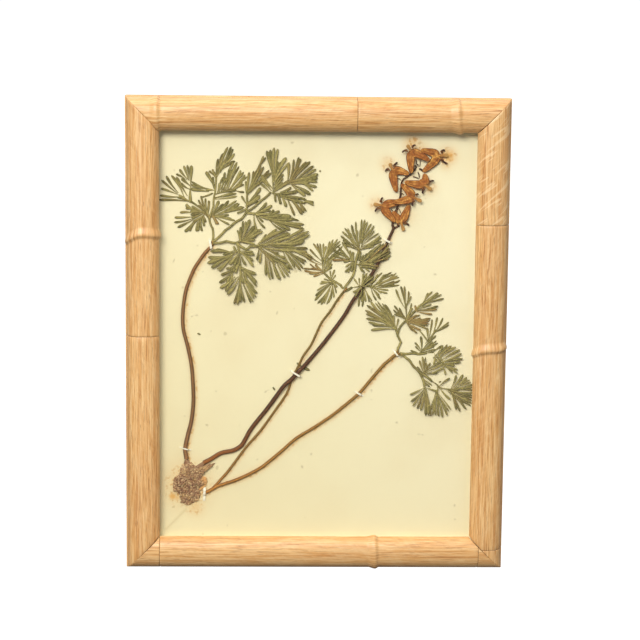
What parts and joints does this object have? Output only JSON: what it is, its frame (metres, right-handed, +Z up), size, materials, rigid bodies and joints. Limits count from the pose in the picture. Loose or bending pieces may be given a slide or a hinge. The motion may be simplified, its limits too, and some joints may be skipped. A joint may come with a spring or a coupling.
{
  "type": "pressed flower frame",
  "caption": "Small wall frame with bamboo-shaped oak moulding and glass, holding a pressed woodland plant with divided leaves, a root and two-spurred flowers on a cream sheet.",
  "frame": {"origin": "the middle notch of the hanger, on the plane of the frame's back", "axes": "+Z up the frame's height, +Y towards the wall, +X to the right as seen from the front"},
  "size_m": [0.2322, 0.0211, 0.2904],
  "materials": {
    "oak": "satin varnish",
    "glass": "clear, polished",
    "sheet_paper": "matt, aged",
    "backing_board": "matt",
    "spacer_card": "matt",
    "steel": "satin",
    "dried_leaf": "matt, dried",
    "dried_stalk": "matt, dried",
    "dried_flower": "matt, dried",
    "dried_root": "matt, dried",
    "strap_paper": "matt"
  },
  "bodies": {
    "root": {"backing_board": "backing_board", "flower_1": "dried_flower", "flower_2": "dried_flower", "flower_3": "dried_flower", "flower_4": "dried_flower", "flower_5": "dried_flower", "flower_6": "dried_flower", "flower_7": "dried_flower", "flower_stalk": "dried_stalk", "glass_pane": "glass", "glass_spacer_bottom": "spacer_card", "glass_spacer_left": "spacer_card", "glass_spacer_right": "spacer_card", "glass_spacer_top": "spacer_card", "glazier_point_bottom": "steel", "glazier_point_left": "steel", "glazier_point_right": "steel", "glazier_point_top": "steel", "hanger": "steel", "hanger_nail_left": "steel", "hanger_nail_right": "steel", "left_leaf_lower": "dried_leaf", "left_leaf_right": "dried_leaf", "left_leaf_stalk": "dried_stalk", "left_leaf_top": "dried_leaf", "middle_leaf_left": "dried_leaf", "middle_leaf_right": "dried_leaf", "middle_leaf_stalk": "dried_stalk", "middle_leaf_top": "dried_leaf", "mounting_sheet": "sheet_paper", "rail_bottom": "oak", "rail_bottom_left": "oak", "rail_bottom_right": "oak", "rail_left_lower": "oak", "rail_left_upper": "oak", "rail_right_foot": "oak", "rail_right_lower": "oak", "rail_right_upper": "oak", "rail_top_left": "oak", "rail_top_right": "oak", "right_leaf_lower": "dried_leaf", "right_leaf_right": "dried_leaf", "right_leaf_stalk": "dried_stalk", "right_leaf_top": "dried_leaf", "root_cluster": "dried_root", "strap_crossing": "strap_paper", "strap_flower_stalk": "strap_paper", "strap_left_leaf": "strap_paper", "strap_left_stalk": "strap_paper", "strap_right_leaf": "strap_paper", "strap_right_stalk": "strap_paper", "strap_root": "strap_paper"}
  },
  "joints": []
}
